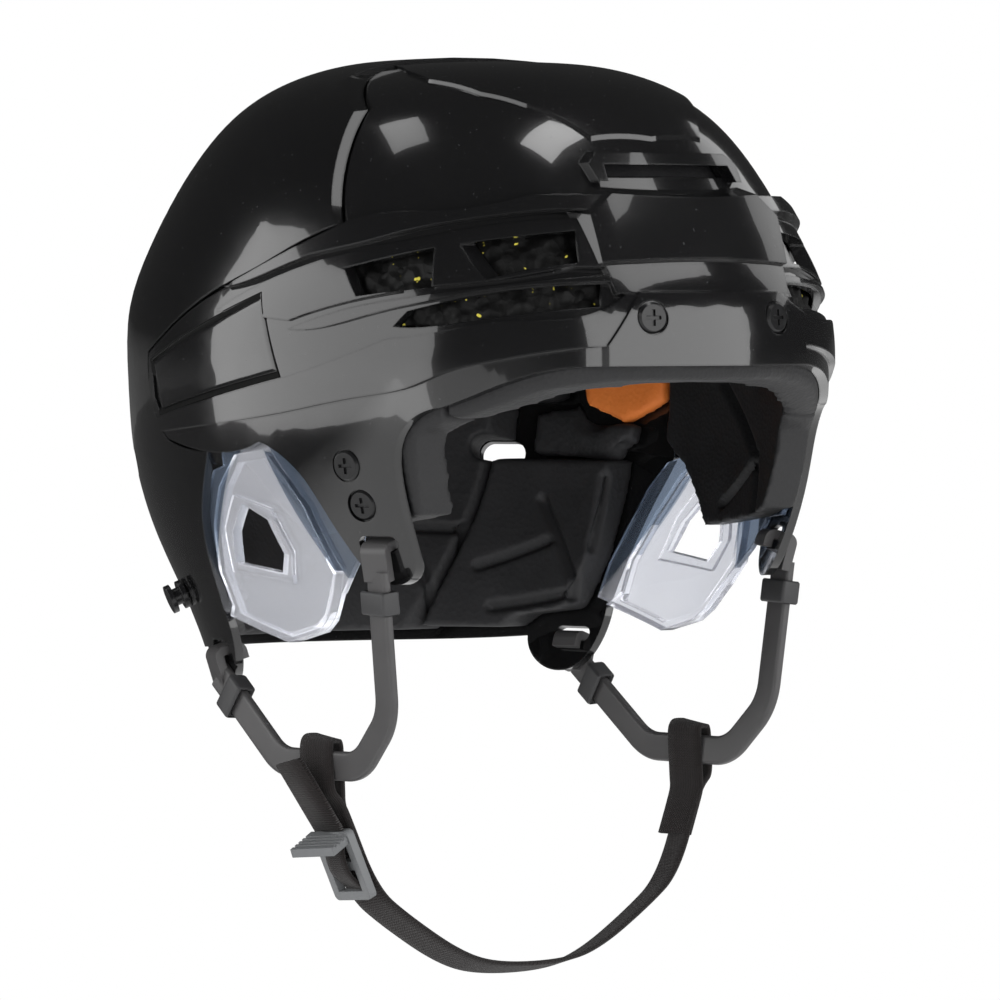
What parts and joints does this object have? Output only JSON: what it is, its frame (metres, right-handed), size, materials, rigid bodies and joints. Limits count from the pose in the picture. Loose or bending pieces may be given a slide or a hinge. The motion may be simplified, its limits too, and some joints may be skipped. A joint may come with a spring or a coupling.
{
  "type": "ice hockey helmet",
  "caption": "Two-shell ice hockey helmet with a sliding size fit, vented front, clear ear guards, foam liner, moulded slings and a chin strap with a ladder-lock buckle.",
  "frame": {"origin": "midway between the two ear holes", "axes": "+X to the wearer's left, -Y out of the face opening, +Z to the crown"},
  "size_m": [0.2114, 0.271, 0.3111],
  "materials": {
    "front_shell_plastic": "gloss",
    "rear_shell_plastic": "gloss",
    "liner_foam": "matt closed-cell foam",
    "soft_foam": "matt soft foam",
    "orange_foam": "matt foam",
    "lattice_foam": "matt lumpy foam",
    "clear_plastic": "clear polycarbonate",
    "sling_plastic": "satin",
    "keeper_rubber": "satin",
    "chin_web": "woven",
    "buckle_plastic": "satin",
    "screw_steel": "gloss black",
    "nut_metal": "satin",
    "post_plastic": "satin"
  },
  "bodies": {
    "front": {"front_shell": "front_shell_plastic", "forehead_pad": "liner_foam", "crown_pad": "liner_foam", "visor_screws": "screw_steel", "visor_nuts": "nut_metal", "ear_guard_screws": "screw_steel", "ear_guard_nuts": "nut_metal", "temple_pad_right": "liner_foam", "temple_pad_left": "liner_foam", "vent_lattice_right": "lattice_foam", "vent_lattice_left": "lattice_foam", "ear_guard_right": "clear_plastic", "ear_guard_left": "clear_plastic", "front_sling_right": "sling_plastic", "front_sling_left": "sling_plastic", "front_keeper_right": "keeper_rubber", "front_keeper_left": "keeper_rubber"},
    "rear": {"rear_shell": "rear_shell_plastic", "back_pad": "liner_foam", "rear_crown_pad": "liner_foam", "occipital_pad": "soft_foam", "cage_posts": "post_plastic", "side_pad_right": "soft_foam", "side_pad_left": "soft_foam", "impact_pad_right": "orange_foam", "impact_pad_left": "orange_foam", "rear_sling_right": "sling_plastic", "rear_sling_left": "sling_plastic", "rear_keeper_right": "keeper_rubber", "rear_keeper_left": "keeper_rubber"},
    "chin": {"chin_webbing": "chin_web", "webbing_tail": "chin_web", "buckle": "buckle_plastic"}
  },
  "joints": [
    {"name": "size_slide", "type": "slide", "parent": "front", "child": "rear", "axis": [0, 1, 0], "range_m": [0, 0.01]},
    {"name": "chin_strap_swing", "type": "hinge", "parent": "front", "child": "chin", "pos_m": [0, -0.018, -0.073], "axis": [1, 0, 0], "range_deg": [-15, 15]}
  ]
}
